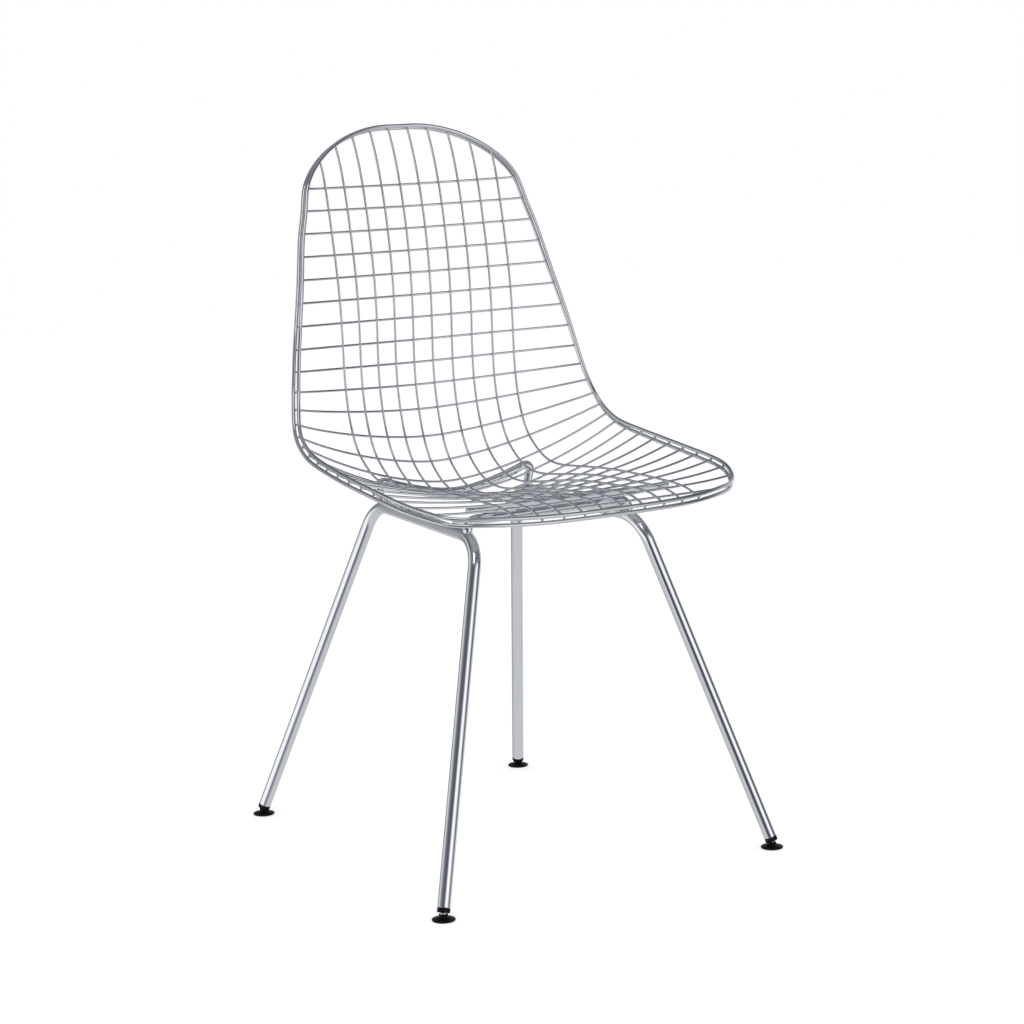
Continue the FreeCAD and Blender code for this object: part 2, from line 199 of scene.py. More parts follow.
def top_row(x):
    """Row at which the top rim passes x, an arch with upright ends.  Its rise above the
    first row, as a share of the whole, is (1 - share of the half width ** 2.59) to the
    power 1 / 1.29."""
    share = np.minimum(np.abs(x) / half_width(1), 1)
    return 1 - (1 - TOP_ROW) * (1 - share**2.59) ** (1 / 1.29)


def front_row(x):
    """Row at which the front rim passes x, a flatter arch: it falls back to the last
    row's ends with the fourth power of the share of the half width."""
    return FRONT_ROW - (FRONT_ROW - ROWS) * (np.abs(x) / half_width(ROWS)) ** 4


def row_at(x, y):
    """Row at which the seat passes y, read off a fine table of rows."""
    rows = np.linspace(13, FRONT_ROW, 2000)
    return np.interp(-y, -shell_point(rows, x)[:, 1], rows)


def chord_lengths(points):
    """Distance along the points from the first one."""
    return np.concatenate([[0], np.cumsum(np.linalg.norm(np.diff(points, axis=0), axis=1))])


def smooth_path(points, spacing):
    """The smooth curve through the points, at about an even spacing."""
    points = np.asarray(points, float)
    along = chord_lengths(points)
    count = int(along[-1] / spacing) + 2
    return smooth_curve(along, points)(np.linspace(0, along[-1], count))


def smooth_loop(points, spacing):
    """A closed smooth curve: the points are repeated past both ends, and the curve
    through them is cut back to one turn."""
    points = np.asarray(points, float)
    wrap = 4
    longer = np.concatenate([points[-wrap:], points, points[:wrap + 1]])
    along = chord_lengths(longer)
    start, end = along[wrap], along[wrap + len(points)]
    count = int((end - start) / spacing)
    return smooth_curve(along, longer)(np.linspace(start, end, count, endpoint=False))


# Distance between the rings of a rod, and the most turn between those of a bend, in radians
ROD_STEP = 6 * MM
ARC_STEP = 0.06


def straight_run(start, end):
    """Even places between two points, without the two."""
    count = int(np.linalg.norm(end - start) / ROD_STEP)
    share = np.arange(1, count)[:, None] / max(count, 1)
    return start + (end - start) * share


def bent_path(points, radius):
    """Straight runs with each corner rounded by one radius.  An arc runs from one
    tangent point to the other, as centre + radius * (start * cos + side * sin)."""
    arcs = []
    for before, corner, after in zip(points, points[1:], points[2:]):
        back, ahead = unit(before - corner), unit(after - corner)
        half = np.arccos(np.clip(back @ ahead, -1, 1)) / 2
        bisector = unit(back + ahead)
        centre = corner + bisector * radius / np.sin(half)
        start = unit(corner + back * radius / np.tan(half) - centre)
        side = unit(-back - start * (-back @ start))
        turn = math.pi - 2 * half
        angles = np.linspace(0, turn, max(3, int(turn / ARC_STEP)))
        arcs.append(centre + radius * (start * np.cos(angles)[:, None]
                                       + side * np.sin(angles)[:, None]))
    ends = [np.asarray(point, float)[None] for point in (points[0], points[-1])]
    path = ends[:1]
    for part in arcs + ends[1:]:
        path += [straight_run(path[-1][-1], part[0]), part]
    return np.concatenate(path)


# Meshes

def piece(name, points, faces, body, material, slot, stands_for=()):
    """A mesh object from point and face arrays, riding on a body."""
    mesh = bpy.data.meshes.new(name)
    mesh.vertices.add(len(points))
    mesh.vertices.foreach_set("co", np.ascontiguousarray(points, np.float32).ravel())
    corners = np.concatenate([np.ravel(face) for face in faces])
    sizes = np.concatenate([np.full(len(face), face.shape[1]) for face in faces])
    mesh.loops.add(len(corners))
    mesh.loops.foreach_set("vertex_index", corners.astype(np.int32))
    mesh.polygons.add(len(sizes))
    starts = np.concatenate([[0], np.cumsum(sizes)[:-1]])
    mesh.polygons.foreach_set("loop_start", starts.astype(np.int32))
    mesh.polygons.foreach_set("use_smooth", np.ones(len(sizes), bool))
    mesh.update(calc_edges=True)
    mesh.validate()
    mesh.materials.append(material)
    made = bpy.data.objects.new(name, mesh)
    bpy.context.scene.collection.objects.link(made)
    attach(made, body)
    if stands_for:
        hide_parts(*stands_for)
    return made


def grid_faces(rings, sides, closed=False):
    """Four-cornered faces between neighbouring rings of a grid of points."""
    ring, side = np.meshgrid(np.arange(rings if closed else rings - 1), np.arange(sides),
                             indexing="ij")
    after, beside = (ring + 1) % rings, (side + 1) % sides
    return np.stack([ring * sides + side, ring * sides + beside,
                     after * sides + beside, after * sides + side], axis=-1).reshape(-1, 4)


def cap_faces(rings, sides):
    """Three-cornered faces from two end points to the first and the last ring."""
    side = np.arange(sides)
    beside = (side + 1) % sides
    last = (rings - 1) * sides
    first_tip, last_tip = np.full(sides, rings * sides), np.full(sides, rings * sides + 1)
    return np.concatenate([np.stack([first_tip, beside, side], axis=-1),
                           np.stack([last_tip, last + side, last + beside], axis=-1)])


def tangents(path, closed=False):
    """Unit direction of a path at each point, from its neighbours."""
    if closed:
        return unit(np.roll(path, -1, axis=0) - np.roll(path, 1, axis=0))
    return unit(np.gradient(path, axis=0))


def round_bar(path, radius, upright, sides, closed=False, blunt=0.25):
    """A circle carried along a path: point = path + radius * (first * cos + second * sin),
    with first the part of the upright vector square to the path.  An open bar ends in a
    small chamfer, with one more ring inside it that keeps the shading of the bar even."""
    if not closed:
        trim = blunt * radius
        steps = trim * np.array([[1.0], [1.6]])
        ahead = unit(path[1] - path[0]) * steps
        behind = unit(path[-1] - path[-2]) * steps[::-1]
        path = np.concatenate([path[:1], path[:1] + ahead, path[1:-1], path[-1:] - behind,
                               path[-1:]])
        radius = np.full(len(path), radius)
        radius[[0, -1]] -= trim
    else:
        radius = np.full(len(path), radius)
    along = tangents(path, closed)
    first = unit(upright - along * np.sum(upright * along, axis=-1, keepdims=True))
    second = np.cross(along, first)
    angles = np.linspace(0, 2 * math.pi, sides, endpoint=False)
    circle = (first[:, None] * np.cos(angles)[:, None]
              + second[:, None] * np.sin(angles)[:, None])
    points = (path[:, None] + radius[:, None, None] * circle).reshape(-1, 3)
    if closed:
        return points, [grid_faces(len(path), sides, closed=True)]
    points = np.concatenate([points, path[:1], path[-1:]])
    return points, [grid_faces(len(path), sides), cap_faces(len(path), sides)]


def turned_form(outline, sides=64):
    """An outline of radius and height turned about +Z: (r cos, r sin, z).  Its first and
    last points lie on the axis."""
    outline = np.asarray(outline, float)
    angles = np.linspace(0, 2 * math.pi, sides, endpoint=False)
    radius, height = outline[1:-1, :1], outline[1:-1, 1:]
    rings = np.stack([radius * np.cos(angles), radius * np.sin(angles),
                      height + 0 * angles], axis=-1)
    tips = [[0, 0, outline[0, 1]], [0, 0, outline[-1, 1]]]
    points = np.concatenate([rings.reshape(-1, 3), tips])
    return points, [grid_faces(len(radius), sides), cap_faces(len(radius), sides)]


def softened(outline, radius, steps=3):
    """An outline with each inner corner cut by a short curve, start (1 - t)^2 +
    corner 2 t (1 - t) + end t^2, that takes less than half of the lines it joins."""
    outline = np.asarray(outline, float)
    most = 0.45
    before, corner, after = outline[:-2], outline[1:-1], outline[2:]
    to_before, to_after = before - corner, after - corner
    low = np.minimum(most, radius / np.linalg.norm(to_before, axis=1))[:, None]
    high = np.minimum(most, radius / np.linalg.norm(to_after, axis=1))[:, None]
    share = np.linspace(0, 1, steps + 1)[None, :, None]
    start, end = (corner + to_before * low)[:, None], (corner + to_after * high)[:, None]
    curve = (start * (1 - share) ** 2 + corner[:, None] * 2 * share * (1 - share)
             + end * share**2)
    return np.concatenate([outline[:1], curve.reshape(-1, outline.shape[1]), outline[-1:]])


def placed(points, origin, upward):
    """Points made about +Z, turned so that +Z is upward and moved to the origin given."""
    upward = unit(np.asarray(upward, float))
    first = unit(np.cross([0, 1, 0], upward))
    return origin + points @ np.stack([first, np.cross(upward, first), upward])


# Materials

class Signal:
    """A shader socket that takes part in sums."""

    def __init__(self, shader, socket):
        self.shader, self.socket = shader, socket

    def _math(self, operation, *values):
        return self.shader.node("ShaderNodeMath", {"operation": operation}, *values)

    def __add__(self, other):
        return self._math("ADD", self, other)

    def __mul__(self, other):
        return self._math("MULTIPLY", self, other)

    def __sub__(self, other):
        return self._math("SUBTRACT", self, other)

    __radd__, __rmul__ = __add__, __mul__

    def clamped(self):
        """The value held between 0 and 1."""
        return self.shader.node("ShaderNodeClamp", {}, self)


class Shader:
    """The node tree of one material or of the world."""

    def __init__(self, owner):
        owner.use_nodes = True
        self.tree = owner.node_tree
        self.tree.nodes.clear()

    def node(self, kind, settings, *values, output=0, **named):
        """Add a node of a kind: its settings first, then the values or links of its
        sockets in order or by name.  Gives the wanted output."""
        made = self.tree.nodes.new(kind)
        for setting, value in settings.items():
            if setting == "stops":
                for number, (place, level) in enumerate(value):
                    stop = (made.color_ramp.elements[number] if number < 2
                            else made.color_ramp.elements.new(place))
                    stop.position, stop.color = place, (level, level, level, 1)
            else:
                setattr(made, setting, value)
        for socket, value in zip(made.inputs, values):
            self.join(value, socket)
        for name, value in named.items():
            wanted = (name, name.replace("_", " "))
            self.join(value, next(socket for socket in made.inputs
                                  if socket.identifier in wanted or socket.name in wanted))
        return Signal(self, made.outputs[output])

    def join(self, value, socket):
        """Link a signal to a socket, or set the socket's own value."""
        if isinstance(value, Signal):
            self.tree.links.new(value.socket, socket)
        else:
            socket.default_value = value

    def finish(self, surface, kind="ShaderNodeOutputMaterial"):
        """Send the surface to the output."""
        self.join(surface, self.tree.nodes.new(kind).inputs["Surface"])


def noise(shader, scale, detail=2.0):
    """Noise over the object's own coordinates, about 0 to 1."""
    place = shader.node("ShaderNodeTexCoord", {}, output="Object")
    return shader.node("ShaderNodeTexNoise", {}, place, Scale=scale, Detail=detail)


def mixed_colour(shader, share, low, high):
    """A colour between two, by a share."""
    return shader.node("ShaderNodeMix", {"data_type": "RGBA"}, share, output=2,
                       A_Color=low, B_Color=high)


def bumped(shader, height, distance, strength):
    """A surface normal bent by a height signal."""
    return shader.node("ShaderNodeBump", {}, Strength=strength, Distance=distance,
                       Height=height)


def plated(name, dark, light, rough, rough_spread, ripple):
    """Bright plating over polished steel: a broad cloudiness in tone and gloss, a fine
    grain in gloss, and a faint ripple left by polishing."""
    material = bpy.data.materials.new(name)
    shader = Shader(material)
    cloud = noise(shader, 18.0)
    grain = noise(shader, 900.0, 3.0)
    gloss = rough + rough_spread * (0.6 * cloud + 0.4 * grain)
    tone = mixed_colour(shader, cloud, dark, light)
    normal = bumped(shader, noise(shader, 220.0), 0.0002, ripple)
    shader.finish(shader.node("ShaderNodeBsdfPrincipled", {}, Base_Color=tone, Metallic=1.0,
                              Roughness=gloss, Normal=normal))
    return material


def moulded_nylon(name):
    """Black nylon: a fine moulded grain, nearly dull, slightly greyer and duller where
    it is scuffed."""
    material = bpy.data.materials.new(name)
    shader = Shader(material)
    scuff = noise(shader, 160.0, 4.0)
    grain = noise(shader, 2500.0)
    tone = mixed_colour(shader, (1.8 * scuff - 0.6).clamped(), (0.003, 0.003, 0.003, 1),
                        (0.01, 0.01, 0.011, 1))
    shader.finish(shader.node("ShaderNodeBsdfPrincipled", {}, Base_Color=tone,
                              Roughness=0.3 + 0.2 * scuff, Specular_IOR_Level=0.15,
                              Normal=bumped(shader, grain, 0.0001, 0.4)))
    return material


wire_chrome = plated("wire_chrome", dark=(0.63, 0.64, 0.66, 1), light=(0.76, 0.77, 0.79, 1),
                     rough=0.05, rough_spread=0.06, ripple=0.015)
rod_chrome = plated("rod_chrome", dark=(0.74, 0.75, 0.77, 1), light=(0.82, 0.83, 0.85, 1),
                    rough=0.03, rough_spread=0.04, ripple=0.02)
weld_chrome = plated("weld_chrome", dark=(0.5, 0.51, 0.53, 1), light=(0.66, 0.67, 0.69, 1),
                     rough=0.15, rough_spread=0.2, ripple=0.4)
ball_steel = plated("ball_steel", dark=(0.5, 0.5, 0.52, 1), light=(0.6, 0.6, 0.62, 1),
                    rough=0.15, rough_spread=0.1, ripple=0.05)
glide_nylon = moulded_nylon("glide_nylon")


# The net

WELD_OFFSET = (MESH_WIRE + WELD_GAP) / 2
RIM_OFFSET = (RIM_WIRE + MESH_WIRE + WELD_GAP) / 2
# Half sizes of a weld bead, in mesh wires: across, along and square to the surface
CROSSING_BEAD = np.array([0.54, 0.54, 0.5]) * MESH_WIRE
RIM_BEAD = np.array([0.64, 0.64, 0.3]) * MESH_WIRE
# Distance between the rings of a mesh wire and of a rim, and their sides
WIRE_STEP, WIRE_SIDES = 5 * MM, 14
RIM_STEP, RIM_SIDES = 4 * MM, 20
# Middle of the space that the shell curves round, which the rims' rings face
SHELL_HEART = np.array([0, -0.05, 0.62])


def long_wire(number, x):
    """A lengthwise wire on the sitter's side of the surface: a circle carried along it at
    one x, with ends that dip between the rims."""
    middle = (1 + top_row(x)) / 2
    rows = np.sort(np.concatenate([[top_row(x), middle], np.arange(1, ROWS + 1), BEND_ROWS,
                                   [front_row(x)]]))
    offsets = np.full(len(rows), WELD_OFFSET)
    offsets[[0, -1]] = 0
    path = smooth_path(shell_offset(rows, x, offsets), WIRE_STEP)
    points, faces = round_bar(path, MESH_WIRE / 2, (1.0, 0, 0), WIRE_SIDES)
    name = "long_wire_%02d" % number
    piece(name + "_round", points, faces, "chair", wire_chrome, "wire_chrome", [name])


def cross_wire(row):
    """A cross wire on the outer side of the surface: a circle carried along one row, with
    ends that rise between the rims."""
    edge = half_width(row)
    between = (COLUMNS[-1] + edge) / 2
    places = np.concatenate([[-edge, -between], COLUMNS, [between, edge]])
    offsets = np.full(len(places), -WELD_OFFSET)
    offsets[[0, -1]] = 0
    path = smooth_path(shell_offset(float(row), places, offsets), WIRE_STEP)
    upright = shell_normal(float(row), 0.0)
    points, faces = round_bar(path, MESH_WIRE / 2, upright, WIRE_SIDES)
    name = "cross_wire_%02d" % row
    piece(name + "_round", points, faces, "chair", wire_chrome, "wire_chrome", [name])


def rim_points(offset):
    """Points of half a rim from the top's middle round to the front's: sines of angles
    along the top, then each row's edge, then shares of the front's half width."""
    top = half_width(1) * np.sin(np.radians([9, 24, 38, 52, 66]))
    front = half_width(ROWS) * np.array([0.9, 0.66, 0.4, 0.15])
    rows = np.arange(1.0, ROWS + 1)
    points = np.concatenate([
        shell_offset(top_row(top), top, np.full(len(top), offset)),
        shell_offset(rows, half_width(rows), np.full(len(rows), offset)),
        shell_offset(front_row(front), front, np.full(len(front), offset))])
    ends = points[[0, -1]] * (0, 1, 1)
    return np.concatenate([ends[:1], points, ends[1:]])


def rim(name, side):
    """A closed rim wire; the second half mirrors the first."""
    half = rim_points(side * RIM_OFFSET)
    loop = smooth_loop(np.concatenate([half, half[-2:0:-1] * (-1, 1, 1)]), RIM_STEP)
    points, faces = round_bar(loop, RIM_WIRE / 2, SHELL_HEART - loop, RIM_SIDES,
                              closed=True)
    piece(name + "_round", points, faces, "chair", wire_chrome, "wire_chrome", [name])


def beads(name, centres, axes, size):
    """Small weld beads, each a low globe: centre + size * (cos v cos u, cos v sin u,
    sin v) along its own three axes."""
    rings, sides = 3, 8
    around = np.linspace(0, 2 * math.pi, sides, endpoint=False)
    up = np.radians([-50, 0, 50])[:, None]
    globe = np.stack([np.cos(up) * np.cos(around), np.cos(up) * np.sin(around),
                      np.sin(up) + 0 * around], axis=-1).reshape(-1, 3)
    globe = np.concatenate([globe, [[0, 0, -1], [0, 0, 1]]])
    points = centres[:, None] + np.einsum("pk,k,nkc->npc", globe, size, axes)
    faces = [grid_faces(rings, sides), cap_faces(rings, sides)]
    start = np.arange(len(centres))[:, None, None] * len(globe)
    faces = [(face[None] + start).reshape(-1, face.shape[1]) for face in faces]
    piece(name, points.reshape(-1, 3), faces, "chair", weld_chrome, "wire_chrome")


def axes_at(rows, x):
    """Three unit axes at places on the shell: across, along and square to it."""
    normal = shell_normal(rows, x)
    across = unit(across_step(rows, x))
    return np.stack([across, np.cross(normal, across), normal], axis=-2)


def weld_beads():
    """A bead at each crossing of two mesh wires, and two at each wire's end, one on each
    rim."""
    edge_rows = np.arange(1.0, ROWS + 1)
    edge_x = half_width(edge_rows)
    rows, x = [grid.ravel() for grid in np.meshgrid(edge_rows, COLUMNS)]
    beads("crossing_welds", shell_point(rows, x), axes_at(rows, x), CROSSING_BEAD)
    rows = np.concatenate([edge_rows, edge_rows, top_row(COLUMNS), front_row(COLUMNS)])
    x = np.concatenate([edge_x, -edge_x, COLUMNS, COLUMNS])
    centres = np.concatenate([shell_offset(rows, x, np.full(len(rows), WELD_OFFSET)),
                              shell_offset(rows, x, np.full(len(rows), -WELD_OFFSET))])
    beads("rim_welds", centres, np.concatenate([axes_at(rows, x)] * 2), RIM_BEAD)


# The base

def mirrored(point, side):
    """A place on the left side, or its mirror image on the right."""
    return point * np.array([side, 1, 1])


def leg_up(end, side):
    """Unit vector up a leg."""
    return unit(mirrored(CORNER[end], side) - mirrored(FOOT[end], side))


def side_frame(name, side):
    """Front leg, top run and rear leg bent from one rod."""
    above = COLLAR_START + COLLAR_LENGTH
    ends = {end: mirrored(FOOT[end], side) + leg_up(end, side) * above for end in FOOT}
    path = bent_path([ends["front"], mirrored(CORNER["front"], side),
                      mirrored(CORNER["rear"], side), ends["rear"]], FRAME_BEND)
    points, faces = round_bar(path, FRAME_ROD / 2, (1.0, 0, 0), sides=48, blunt=0.06)
    node = "side_frame_" + name
    piece(node + "_round", points, faces, "chair", rod_chrome, "rod_chrome", [node])


def run_point(side, y):
    """Point on a side frame's top run, by its y."""
    share = (y - CORNER["front"][1]) / (CORNER["rear"][1] - CORNER["front"][1])
    return mirrored(CORNER["front"] + (CORNER["rear"] - CORNER["front"]) * share, side)


def landed(end, knee):
    """Where a rod that comes down from a knee sinks into the skin of a side frame, whose
    middle line it points at."""
    return end - unit(end - knee) * (FRAME_ROD / 2 - ROD_SINK)


def front_cross_rod():
    """A rod across the front that bends down onto both side frames."""
    y = -CROSS_ROD_AHEAD
    ends = [run_point(side, y) for side in (-1, 1)]
    knees = [np.array([end[0], y, CROSS_ROD_HEIGHT]) for end in ends]
    path = bent_path([landed(ends[0], knees[0]), knees[0], knees[1],
                      landed(ends[1], knees[1])], CROSS_ROD)
    points, faces = round_bar(path, CROSS_ROD / 2, (0, 1.0, 0), sides=32)
    piece("front_cross_rod_round", points, faces, "chair", rod_chrome, "rod_chrome",
          ["front_cross_rod"])


def rear_cradle_rod():
    """A rod that follows the hollow of the shell and bends down onto the side frames, at
    knees a little outside and above the last of the points that it follows."""
    below = (CRADLE_ROD + WELD_GAP) / 2
    limit = run_point(1, CRADLE_BEHIND)[0]
    x = COLUMNS[(COLUMNS > 0) & (COLUMNS < limit)]
    rows = np.array([row_at(place, CRADLE_BEHIND) for place in x])
    half = shell_offset(rows, x, np.full(len(x), -below))
    foot = run_point(1, half[-1, 1])
    knee = np.array([foot[0] + 1.4 * CRADLE_BEND, half[-1, 1], half[-1, 2] + 3 * MM])
    run = smooth_path(np.concatenate([mirrored(half, -1)[::-1], half]), ROD_STEP)
    foot, knee = mirrored(foot, -1), mirrored(knee, -1)
    end = bent_path([landed(foot, knee), knee, run[0]], CRADLE_BEND)[:-1]
    path = np.concatenate([end, run, mirrored(end, -1)[::-1]])
    points, faces = round_bar(path, CRADLE_ROD / 2, (0, 1.0, 0), sides=28)
    piece("rear_cradle_rod_round", points, faces, "chair", rod_chrome, "rod_chrome",
          ["rear_cradle_rod"])


def support_height():
    """Height of the front support rod, just under the middle wires."""
    row = row_at(0.0, -SUPPORT_AHEAD)
    return float(shell_point(row, 0.0)[2]) - (SUPPORT_ROD + WELD_GAP) / 2


def front_support_rod():
    """A straight rod under the lengthwise wires at the front of the seat."""
    x = np.linspace(-SUPPORT_REACH, SUPPORT_REACH, 40)
    path = np.stack(np.broadcast_arrays(x, -SUPPORT_AHEAD, support_height()), axis=-1)
    points, faces = round_bar(path, SUPPORT_ROD / 2, (0, 1.0, 0), sides=24)
    piece("front_support_rod_round", points, faces, "chair", rod_chrome, "rod_chrome",
          ["front_support_rod"])


def support_strap(name, side):
    """A flat strap with soft edges: a squared-off oval, cos and sin to a low power,
    carried along its length."""
    gap = WELD_GAP / 2
    on_rod = CROSS_ROD_HEIGHT + CROSS_ROD / 2 + gap
    under_support = support_height() - SUPPORT_ROD / 2 - STRAP_THICKNESS - gap
    rear = np.array([side * STRAP_SIDE, -CROSS_ROD_AHEAD, on_rod])
    front = np.array([side * STRAP_SIDE, -SUPPORT_AHEAD, under_support])
    along = unit(front - rear)
    up = unit(np.cross((1.0, 0, 0), along))
    up = up if up[2] > 0 else -up
    overhang = STRAP_WIDTH / 3
    reach = np.linalg.norm(front - rear)
    count, sides = 12, 40
    places = np.linspace(-overhang, reach + overhang, count)
    angles = np.linspace(0, 2 * math.pi, sides, endpoint=False)
    wide = np.sign(np.cos(angles)) * np.abs(np.cos(angles)) ** 0.2 * STRAP_WIDTH / 2
    high = np.sign(np.sin(angles)) * np.abs(np.sin(angles)) ** 0.35 * STRAP_THICKNESS / 2
    middle = rear + places[:, None] * along + up * STRAP_THICKNESS / 2
    rings = middle[:, None] + wide[:, None] * np.array([1.0, 0, 0]) + high[:, None] * up
    points = np.concatenate([rings.reshape(-1, 3), middle[[0, -1]]])
    faces = [grid_faces(count, sides), cap_faces(count, sides)]
    if np.cross((1.0, 0, 0), up) @ along < 0:
        faces = [face[:, ::-1] for face in faces]
    node = "support_strap_" + name
    piece(node + "_soft", points, faces, "chair", rod_chrome, "rod_chrome", [node])


def glide(end, name, side):
    """One tilting glide: the plug in the leg, the ball and the foot.  Plug and foot are
    outlines of radius and height turned about an axis, the ball is r (cos v, sin v)."""
    label = end + "_" + name
    place, up = mirrored(FOOT[end], side), leg_up(end, side)
    top = COLLAR_START + COLLAR_LENGTH
    ball = BALL / 2
    seat, ceiling, pocket = 0.8 * ball, 0.65 * ball, HEAD / 2 + HEAD_GAP
    plug = softened([(0, ball), (seat, ball), (seat, ceiling), (pocket, ceiling),
                     (pocket, COLLAR_START), (FRAME_ROD / 2, COLLAR_START),
                     (FRAME_ROD / 2, top), (STEM / 2, top), (STEM / 2, top + STEM_LENGTH),
                     (0, top + STEM_LENGTH)], 0.3 * MM)
    points, faces = turned_form(plug)
    piece("glide_plug_%s_round" % label, placed(points, place, up), faces, "chair",
          glide_nylon, "glide_plastic", ["glide_plug_" + label])
    angles = np.linspace(-math.pi / 2, math.pi / 2, 24)
    globe = ball * np.stack([np.cos(angles), np.sin(angles)], axis=-1)
    points, faces = turned_form(globe, sides=40)
    piece("glide_ball_%s_round" % label, points + place, faces, "ball_" + label, ball_steel,
          "ball_steel", ["glide_ball_" + label])
    head_top, cup = BALL_HEIGHT - HEAD_DROP, BALL_HEIGHT - ball - 0.1 * MM
    shoulder, neck, disc = BALL_HEIGHT - 2.4 * MM, NECK / 2 + 0.3 * MM, DISC / 2
    foot = softened([(0, 0), (disc - 0.8 * MM, 0), (disc, 0.8 * MM), (disc, 1.8 * MM),
                     (neck + 2.4 * MM, 3.5 * MM), (neck, 4.2 * MM), (neck, shoulder),
                     (HEAD / 2, head_top), (1.04 * ball, head_top), (0.93 * ball, shoulder),
                     (0.57 * ball, cup), (0, cup)], 0.5 * MM)
    points, faces = turned_form(foot)
    piece("glide_foot_%s_round" % label, points + place * (1, 1, 0), faces, "foot_" + label,
          glide_nylon, "glide_plastic", ["glide_foot_" + label])


for number, x in enumerate(COLUMNS, start=1):
    long_wire(number, x)
for row in range(1, ROWS + 1):
    cross_wire(row)
rim("rim_inner", 1)
rim("rim_outer", -1)
weld_beads()
for name, side in (("left", 1), ("right", -1)):
    side_frame(name, side)
    support_strap(name, side)
    glide("front", name, side)
    glide("rear", name, side)
front_cross_rod()
rear_cradle_rod()
front_support_rod()


# Studio

# The photograph's camera: its place, its angles in degrees, and its lens on a frame that
# is 36 mm wide
CAMERA_PLACE = (-1.6582, -2.7051, 0.9309)
CAMERA_YAW, CAMERA_PITCH, CAMERA_ROLL = -31.970, 9.696, -1.602
CAMERA_FRAME, CAMERA_LENS = 36, 96.78
# Levels that bright metal reflects: compass angle from the camera's side, level
UPPER_RING = [(-180, 0.4), (-154, 0.22), (-134, 0.28), (-122, 0.35), (-110, 0.8),
              (-92, 0.8), (-80, 0.5), (-66, 0.3), (-48, 0.17), (-28, 0.12), (-4, 0.1),
              (8, 0.26), (20, 0.8), (30, 1.25), (52, 1.25), (62, 1.05), (71, 0.6),
              (80, 0.2), (92, 0.06), (108, 0.12), (124, 0.4), (140, 1.0), (180, 0.4)]
MIDDLE_RING = [(-180, 0.4), (-134, 0.3), (-122, 0.45), (-106, 0.95), (-90, 1.2),
               (-40, 1.2), (-28, 0.3), (-18, 0.1), (-4, 0.06), (8, 0.1), (16, 0.28),
               (28, 0.85), (60, 1.0), (80, 0.4), (96, 0.22), (108, 0.3), (124, 0.9),
               (150, 0.8), (180, 0.4)]
LOWER_RING = [(-180, 0.68), (-110, 0.6), (-60, 0.75), (-40, 0.65), (-28, 0.25), (-18, 0.2),
              (8, 0.22), (18, 0.5), (30, 0.66), (180, 0.68)]


def light_path(shader, kind):
    """1 for rays of one kind, 0 for the others."""
    return shader.node("ShaderNodeLightPath", {}, output=kind)


def studio_floor():
    """A plain pale floor that keeps the chair's shadow.  The camera sees it lifted to
    white; in reflections the studio's own lower half takes its place."""
    mesh = bpy.data.meshes.new("studio_floor")
    reach = 6.0
    mesh.from_pydata([(-reach, -reach, 0), (reach, -reach, 0), (reach, reach, 0),
                      (-reach, reach, 0)], [], [(0, 1, 2, 3)])
    material = bpy.data.materials.new("studio_floor")
    shader = Shader(material)
    tone = mixed_colour(shader, noise(shader, 2.0), (0.78, 0.78, 0.78, 1),
                        (0.82, 0.82, 0.82, 1))
    lift = mixed_colour(shader, light_path(shader, "Is Camera Ray"), (0, 0, 0, 1),
                        (0.36, 0.36, 0.36, 1))
    plain = shader.node("ShaderNodeBsdfPrincipled", {}, Base_Color=tone, Roughness=0.9,
                        Emission_Color=lift, Emission_Strength=1.0)
    clear = shader.node("ShaderNodeBsdfTransparent", {})
    reflected = light_path(shader, "Is Glossy Ray")
    shader.finish(shader.node("ShaderNodeMixShader", {}, reflected, plain, clear))
    mesh.materials.append(material)
    floor = bpy.data.objects.new("studio_floor", mesh)
    bpy.context.scene.collection.objects.link(floor)


def ramp(shader, stops, share):
    """A grey level for each share, straight between the stops given."""
    return shader.node("ShaderNodeValToRGB", {"stops": stops}, share)


def around_stops(levels):
    """Ramp stops from pairs of a compass angle about the camera's side, in degrees, and
    a level.  The last pair comes second, as a new ramp holds its two ends first."""
    stops = [(0.5 + angle / 360, level) for angle, level in levels]
    return [stops[0], stops[-1]] + stops[1:-1]


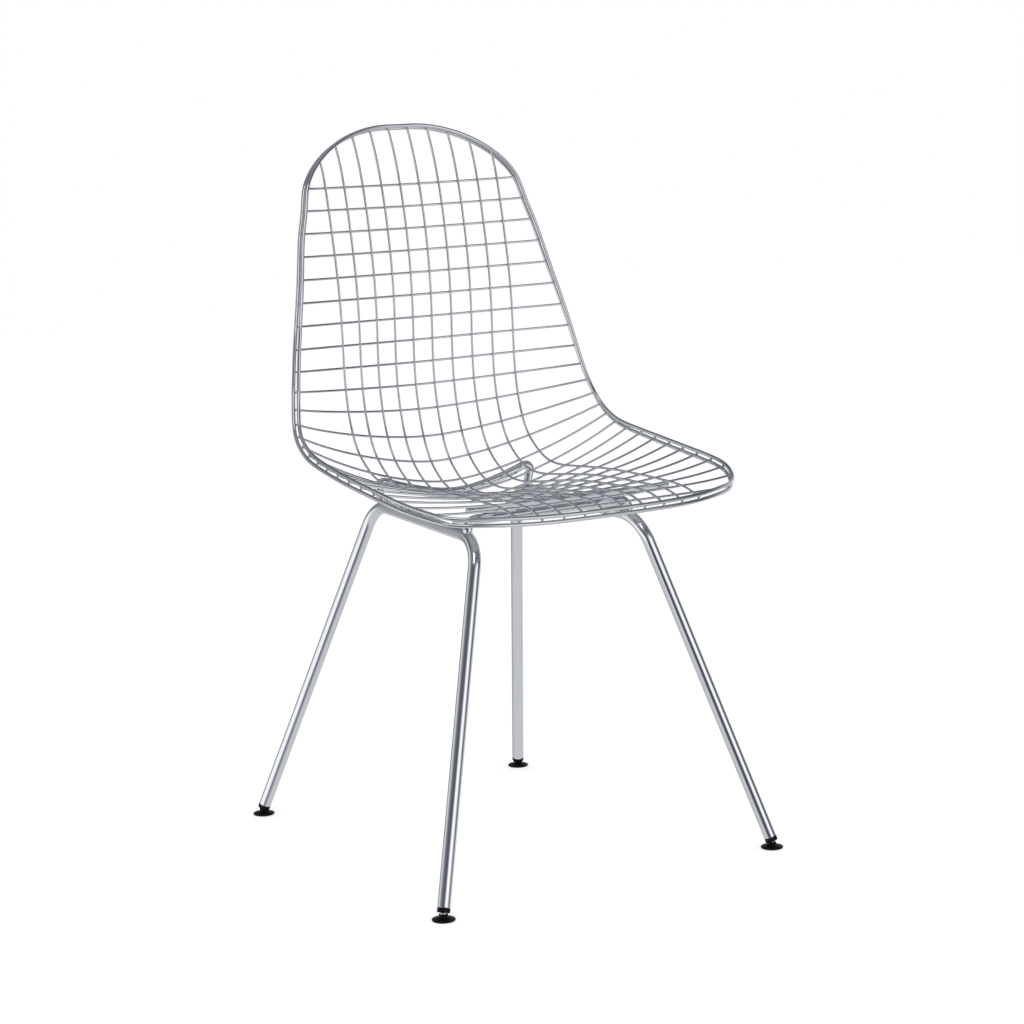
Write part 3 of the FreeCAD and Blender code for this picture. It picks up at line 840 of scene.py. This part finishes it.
def studio_world():
    """White to the camera and plain light on matt things.  Bright metal reflects a studio
    of soft boxes and dark gaps, drawn by compass angle and height alone: a ring of
    levels above the horizon and two below it, a dark ceiling and a pale floor."""
    world = bpy.data.worlds.new("studio")
    bpy.context.scene.world = world
    shader = Shader(world)
    direction = shader.node("ShaderNodeTexCoord", {}, output="Generated")
    east, north, height = [shader.node("ShaderNodeSeparateXYZ", {}, direction, output=axis)
                           for axis in "XYZ"]
    yaw = math.radians(CAMERA_YAW)
    across = math.cos(yaw) * east + math.sin(yaw) * north
    toward = math.sin(yaw) * east + -math.cos(yaw) * north
    angle = shader.node("ShaderNodeMath", {"operation": "ARCTAN2"}, across, toward)
    share = (0.5 / math.pi) * angle + 0.5
    upper, middle, lower = [ramp(shader, around_stops(ring), share)
                            for ring in (UPPER_RING, MIDDLE_RING, LOWER_RING)]
    rise = 0.5 * height + 0.5
    past_lower = ramp(shader, [(0.29, 0.0), (0.34, 1.0)], rise)
    rings = mixed_colour(shader, past_lower, lower, middle)
    past_middle = ramp(shader, [(0.46, 0.0), (0.51, 1.0)], rise)
    rings = mixed_colour(shader, past_middle, rings, upper)
    past_rings = ramp(shader, [(0.1, 1.0), (0.77, 1.0), (0.22, 0.0), (0.67, 0.0)], rise)
    floor_to_ceiling = ramp(shader, [(0.5, 0.7), (1.0, 0.4), (0.7, 0.12), (0.86, 0.14)],
                            rise)
    studio = mixed_colour(shader, past_rings, rings, floor_to_ceiling)
    tinted = mixed_colour(shader, 0.05, studio, (0.1, 0.3, 0.8, 1))
    plain = mixed_colour(shader, light_path(shader, "Is Glossy Ray"), (0.85, 0.86, 0.88, 1),
                         tinted)
    seen = mixed_colour(shader, light_path(shader, "Is Camera Ray"), plain, (1, 1, 1, 1))
    shader.finish(shader.node("ShaderNodeBackground", {}, seen, 1.0),
                  "ShaderNodeOutputWorld")


def soft_box(name, place, aim, size, power):
    """A square area lamp aimed at a point: its own +Z is the direction from the aim."""
    lamp = bpy.data.lights.new(name, "AREA")
    lamp.size, lamp.energy = size, power
    made = bpy.data.objects.new(name, lamp)
    place, aim = np.asarray(place, float), np.asarray(aim, float)
    back = unit(place - aim)
    right = unit(np.cross((0, 0, 1.0), back))
    turn = np.eye(4)
    turn[:3, :3] = np.stack([right, np.cross(back, right), back], axis=1)
    turn[:3, 3] = place
    made.matrix_world = Matrix(turn.tolist())
    bpy.context.scene.collection.objects.link(made)


def camera():
    """The photograph's view: a long lens from the chair's right front."""
    yaw, pitch, roll = np.radians([CAMERA_YAW, CAMERA_PITCH, CAMERA_ROLL])
    back = np.array([math.sin(yaw) * math.cos(pitch), -math.cos(yaw) * math.cos(pitch),
                     math.sin(pitch)])
    level = np.array([math.cos(yaw), math.sin(yaw), 0])
    rise = np.cross(back, level)
    right = math.cos(roll) * level + math.sin(roll) * rise
    up = -math.sin(roll) * level + math.cos(roll) * rise
    turn = np.eye(4)
    turn[:3, :3] = np.stack([right, up, back], axis=1)
    turn[:3, 3] = CAMERA_PLACE
    lens = bpy.data.cameras.new("camera")
    lens.sensor_width, lens.lens = CAMERA_FRAME, CAMERA_LENS
    made = bpy.data.objects.new("camera", lens)
    made.matrix_world = Matrix(turn.tolist())
    bpy.context.scene.collection.objects.link(made)
    bpy.context.scene.camera = made


studio_floor()
studio_world()
soft_box("key_light", (-1.6, -1.8, 2.8), (0, 0, 0.4), 1.6, 12)
camera()
bpy.context.scene.view_settings.view_transform = "Standard"
